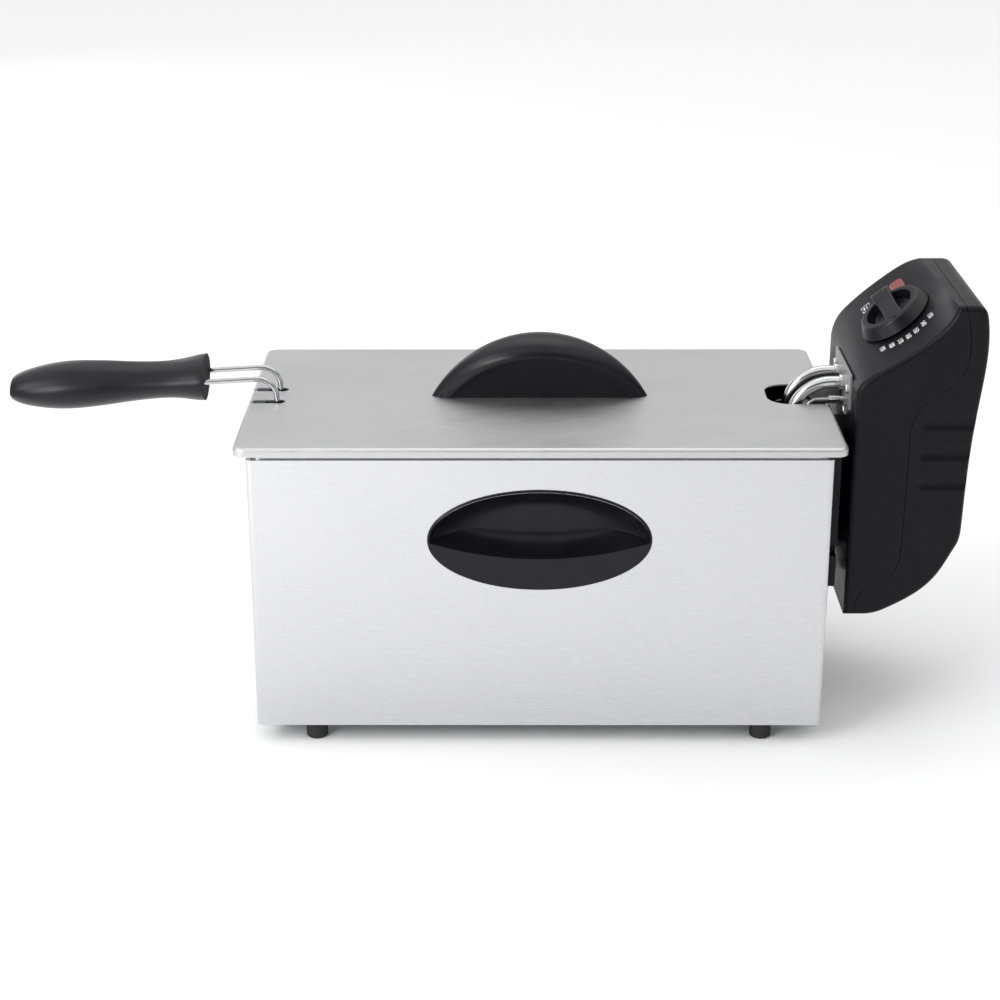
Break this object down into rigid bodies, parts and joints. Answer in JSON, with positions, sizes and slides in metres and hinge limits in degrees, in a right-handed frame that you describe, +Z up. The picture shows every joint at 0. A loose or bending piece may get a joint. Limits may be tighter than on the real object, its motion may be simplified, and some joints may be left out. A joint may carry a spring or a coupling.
{
  "type": "deep fryer",
  "caption": "Stainless deep fryer with lift-off lid, wire basket with a side handle, removable oil pan and a hang-on control head with an immersed heating element.",
  "frame": {"origin": "centre of the bounding box, on the plane that the feet stand on", "axes": "+X along the housing towards the control head, +Z up, -Y towards the user"},
  "size_m": [0.5354, 0.1868, 0.2402],
  "materials": {
    "brushed_steel": "brushed",
    "pan_steel": "satin",
    "base_steel": "galvanised",
    "black_plastic": "fine grain, satin",
    "grip_plastic": "satin",
    "knob_plastic": "satin",
    "foot_rubber": "matte",
    "bright_wire": "bright drawn",
    "basket_wire": "bright drawn",
    "element_steel": "polished tube",
    "bracket_steel": "satin",
    "hook_steel": "dark phosphated",
    "screw_steel": "zinc plated",
    "lens_red": "translucent",
    "lamp_glass": "clear",
    "bakelite": "moulded",
    "terminal_plastic": "moulded",
    "terminal_metal": "plated",
    "lead_insulation": "sleeved"
  },
  "bodies": {
    "housing": {"housing_shell": "brushed_steel", "base_plate": "base_steel", "rubber_feet": "foot_rubber", "foot_screws": "screw_steel", "foot_nuts": "screw_steel", "side_grip_front": "grip_plastic", "side_grip_rear": "grip_plastic", "guide_rail": "black_plastic", "guide_rail_screws": "screw_steel"},
    "pan": {"oil_pan": "pan_steel"},
    "control_head": {"head_front_shell": "black_plastic", "head_rear_cover": "black_plastic", "cover_screws": "screw_steel", "mounting_plate": "bracket_steel", "plate_screws": "screw_steel", "heating_element": "element_steel", "element_bushes": "element_steel", "element_terminals": "terminal_metal", "element_clamp": "element_steel", "rim_hook": "hook_steel", "capillary_sensor": "element_steel", "sensor_clip": "element_steel", "thermostat_body": "bakelite", "indicator_lens": "lens_red", "indicator_lamp": "lamp_glass", "safety_cutout": "bakelite", "interlock_switch": "bakelite", "terminal_block": "terminal_plastic", "cord_gland": "black_plastic", "internal_leads": "lead_insulation"},
    "knob": {"thermostat_knob": "knob_plastic", "knob_shaft": "screw_steel"},
    "reset": {"reset_button": "knob_plastic"},
    "plunger": {"interlock_plunger": "knob_plastic"},
    "basket": {"basket_mesh": "basket_wire", "basket_rim": "bright_wire", "basket_supports": "bright_wire", "drain_hooks": "bright_wire", "handle_wires": "bright_wire", "basket_grip": "grip_plastic"},
    "lid": {"lid_panel": "brushed_steel", "lid_handle": "grip_plastic", "lid_handle_screws": "screw_steel", "lid_handle_washers": "screw_steel"}
  },
  "joints": [
    {"name": "pan_lift", "type": "slide", "parent": "housing", "child": "pan", "axis": [0, 0, 1], "range_m": [0, 0.17]},
    {"name": "head_lift", "type": "slide", "parent": "pan", "child": "control_head", "axis": [0, 0, 1], "range_m": [0, 0.15]},
    {"name": "basket_lift", "type": "slide", "parent": "control_head", "child": "basket", "axis": [0, 0, 1], "range_m": [0, 0.13]},
    {"name": "lid_lift", "type": "slide", "parent": "basket", "child": "lid", "axis": [0, 0, 1], "range_m": [0, 0.08]},
    {"name": "knob_turn", "type": "hinge", "parent": "control_head", "child": "knob", "pos_m": [0.2256, -0.0032, 0.2207], "axis": [-0.6034, -0.1149, 0.7891], "range_deg": [-30, 60]},
    {"name": "reset_press", "type": "slide", "parent": "control_head", "child": "reset", "axis": [0, -1, 0], "range_m": [0, 0.0018], "stiffness_N_per_m": 600, "springref_m": -0.002},
    {"name": "interlock_press", "type": "slide", "parent": "control_head", "child": "plunger", "axis": [-1, 0, 0], "range_m": [0, 0.0025]}
  ],
  "couplings": [
    {"joint": "interlock_press", "follows": "head_lift", "ratio": 0.016667}
  ]
}
